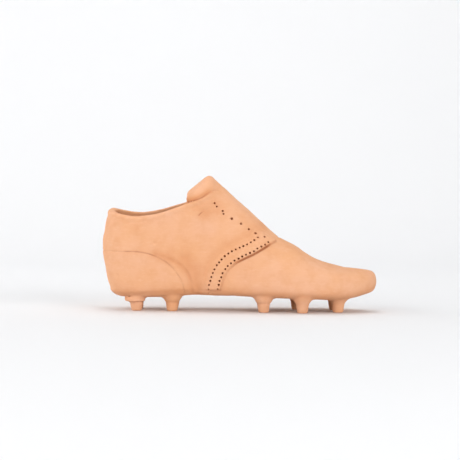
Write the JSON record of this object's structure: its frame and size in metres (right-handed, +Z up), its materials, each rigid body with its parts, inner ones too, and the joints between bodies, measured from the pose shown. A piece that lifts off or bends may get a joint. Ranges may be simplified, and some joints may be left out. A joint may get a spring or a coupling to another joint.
{
  "type": "soccer cleat",
  "caption": "Hand-built unglazed clay model of an old-fashioned football boot: hollow upper, folded tongue, punched band, rolled collar and a sole on round studs.",
  "frame": {"origin": "middle of the bounding box, at the height of the stud tips", "axes": "+X towards the toe, +Y towards the inner (medial) side of the foot, +Z up"},
  "size_m": [0.2758, 0.0888, 0.1339],
  "materials": {
    "terracotta": "matt, unglazed"
  },
  "bodies": {
    "root": {"sole_slab": "terracotta", "vamp": "terracotta", "quarter_lateral": "terracotta", "quarter_medial": "terracotta", "heel_counter": "terracotta", "counter_trim_lateral": "terracotta", "counter_trim_medial": "terracotta", "brogue_band_lateral": "terracotta", "brogue_band_medial": "terracotta", "tongue": "terracotta", "collar_roll": "terracotta", "heel_rear_stud_pad_lateral": "terracotta", "heel_rear_stud_lateral": "terracotta", "heel_rear_stud_pad_medial": "terracotta", "heel_rear_stud_medial": "terracotta", "heel_front_stud_pad_lateral": "terracotta", "heel_front_stud_lateral": "terracotta", "heel_front_stud_pad_medial": "terracotta", "heel_front_stud_medial": "terracotta", "waist_stud_pad_lateral": "terracotta", "waist_stud_lateral": "terracotta", "waist_stud_pad_medial": "terracotta", "waist_stud_medial": "terracotta", "ball_stud_pad_lateral": "terracotta", "ball_stud_lateral": "terracotta", "ball_stud_pad_medial": "terracotta", "ball_stud_medial": "terracotta", "toe_stud_pad_lateral": "terracotta", "toe_stud_lateral": "terracotta", "toe_stud_pad_medial": "terracotta", "toe_stud_medial": "terracotta"}
  },
  "joints": []
}
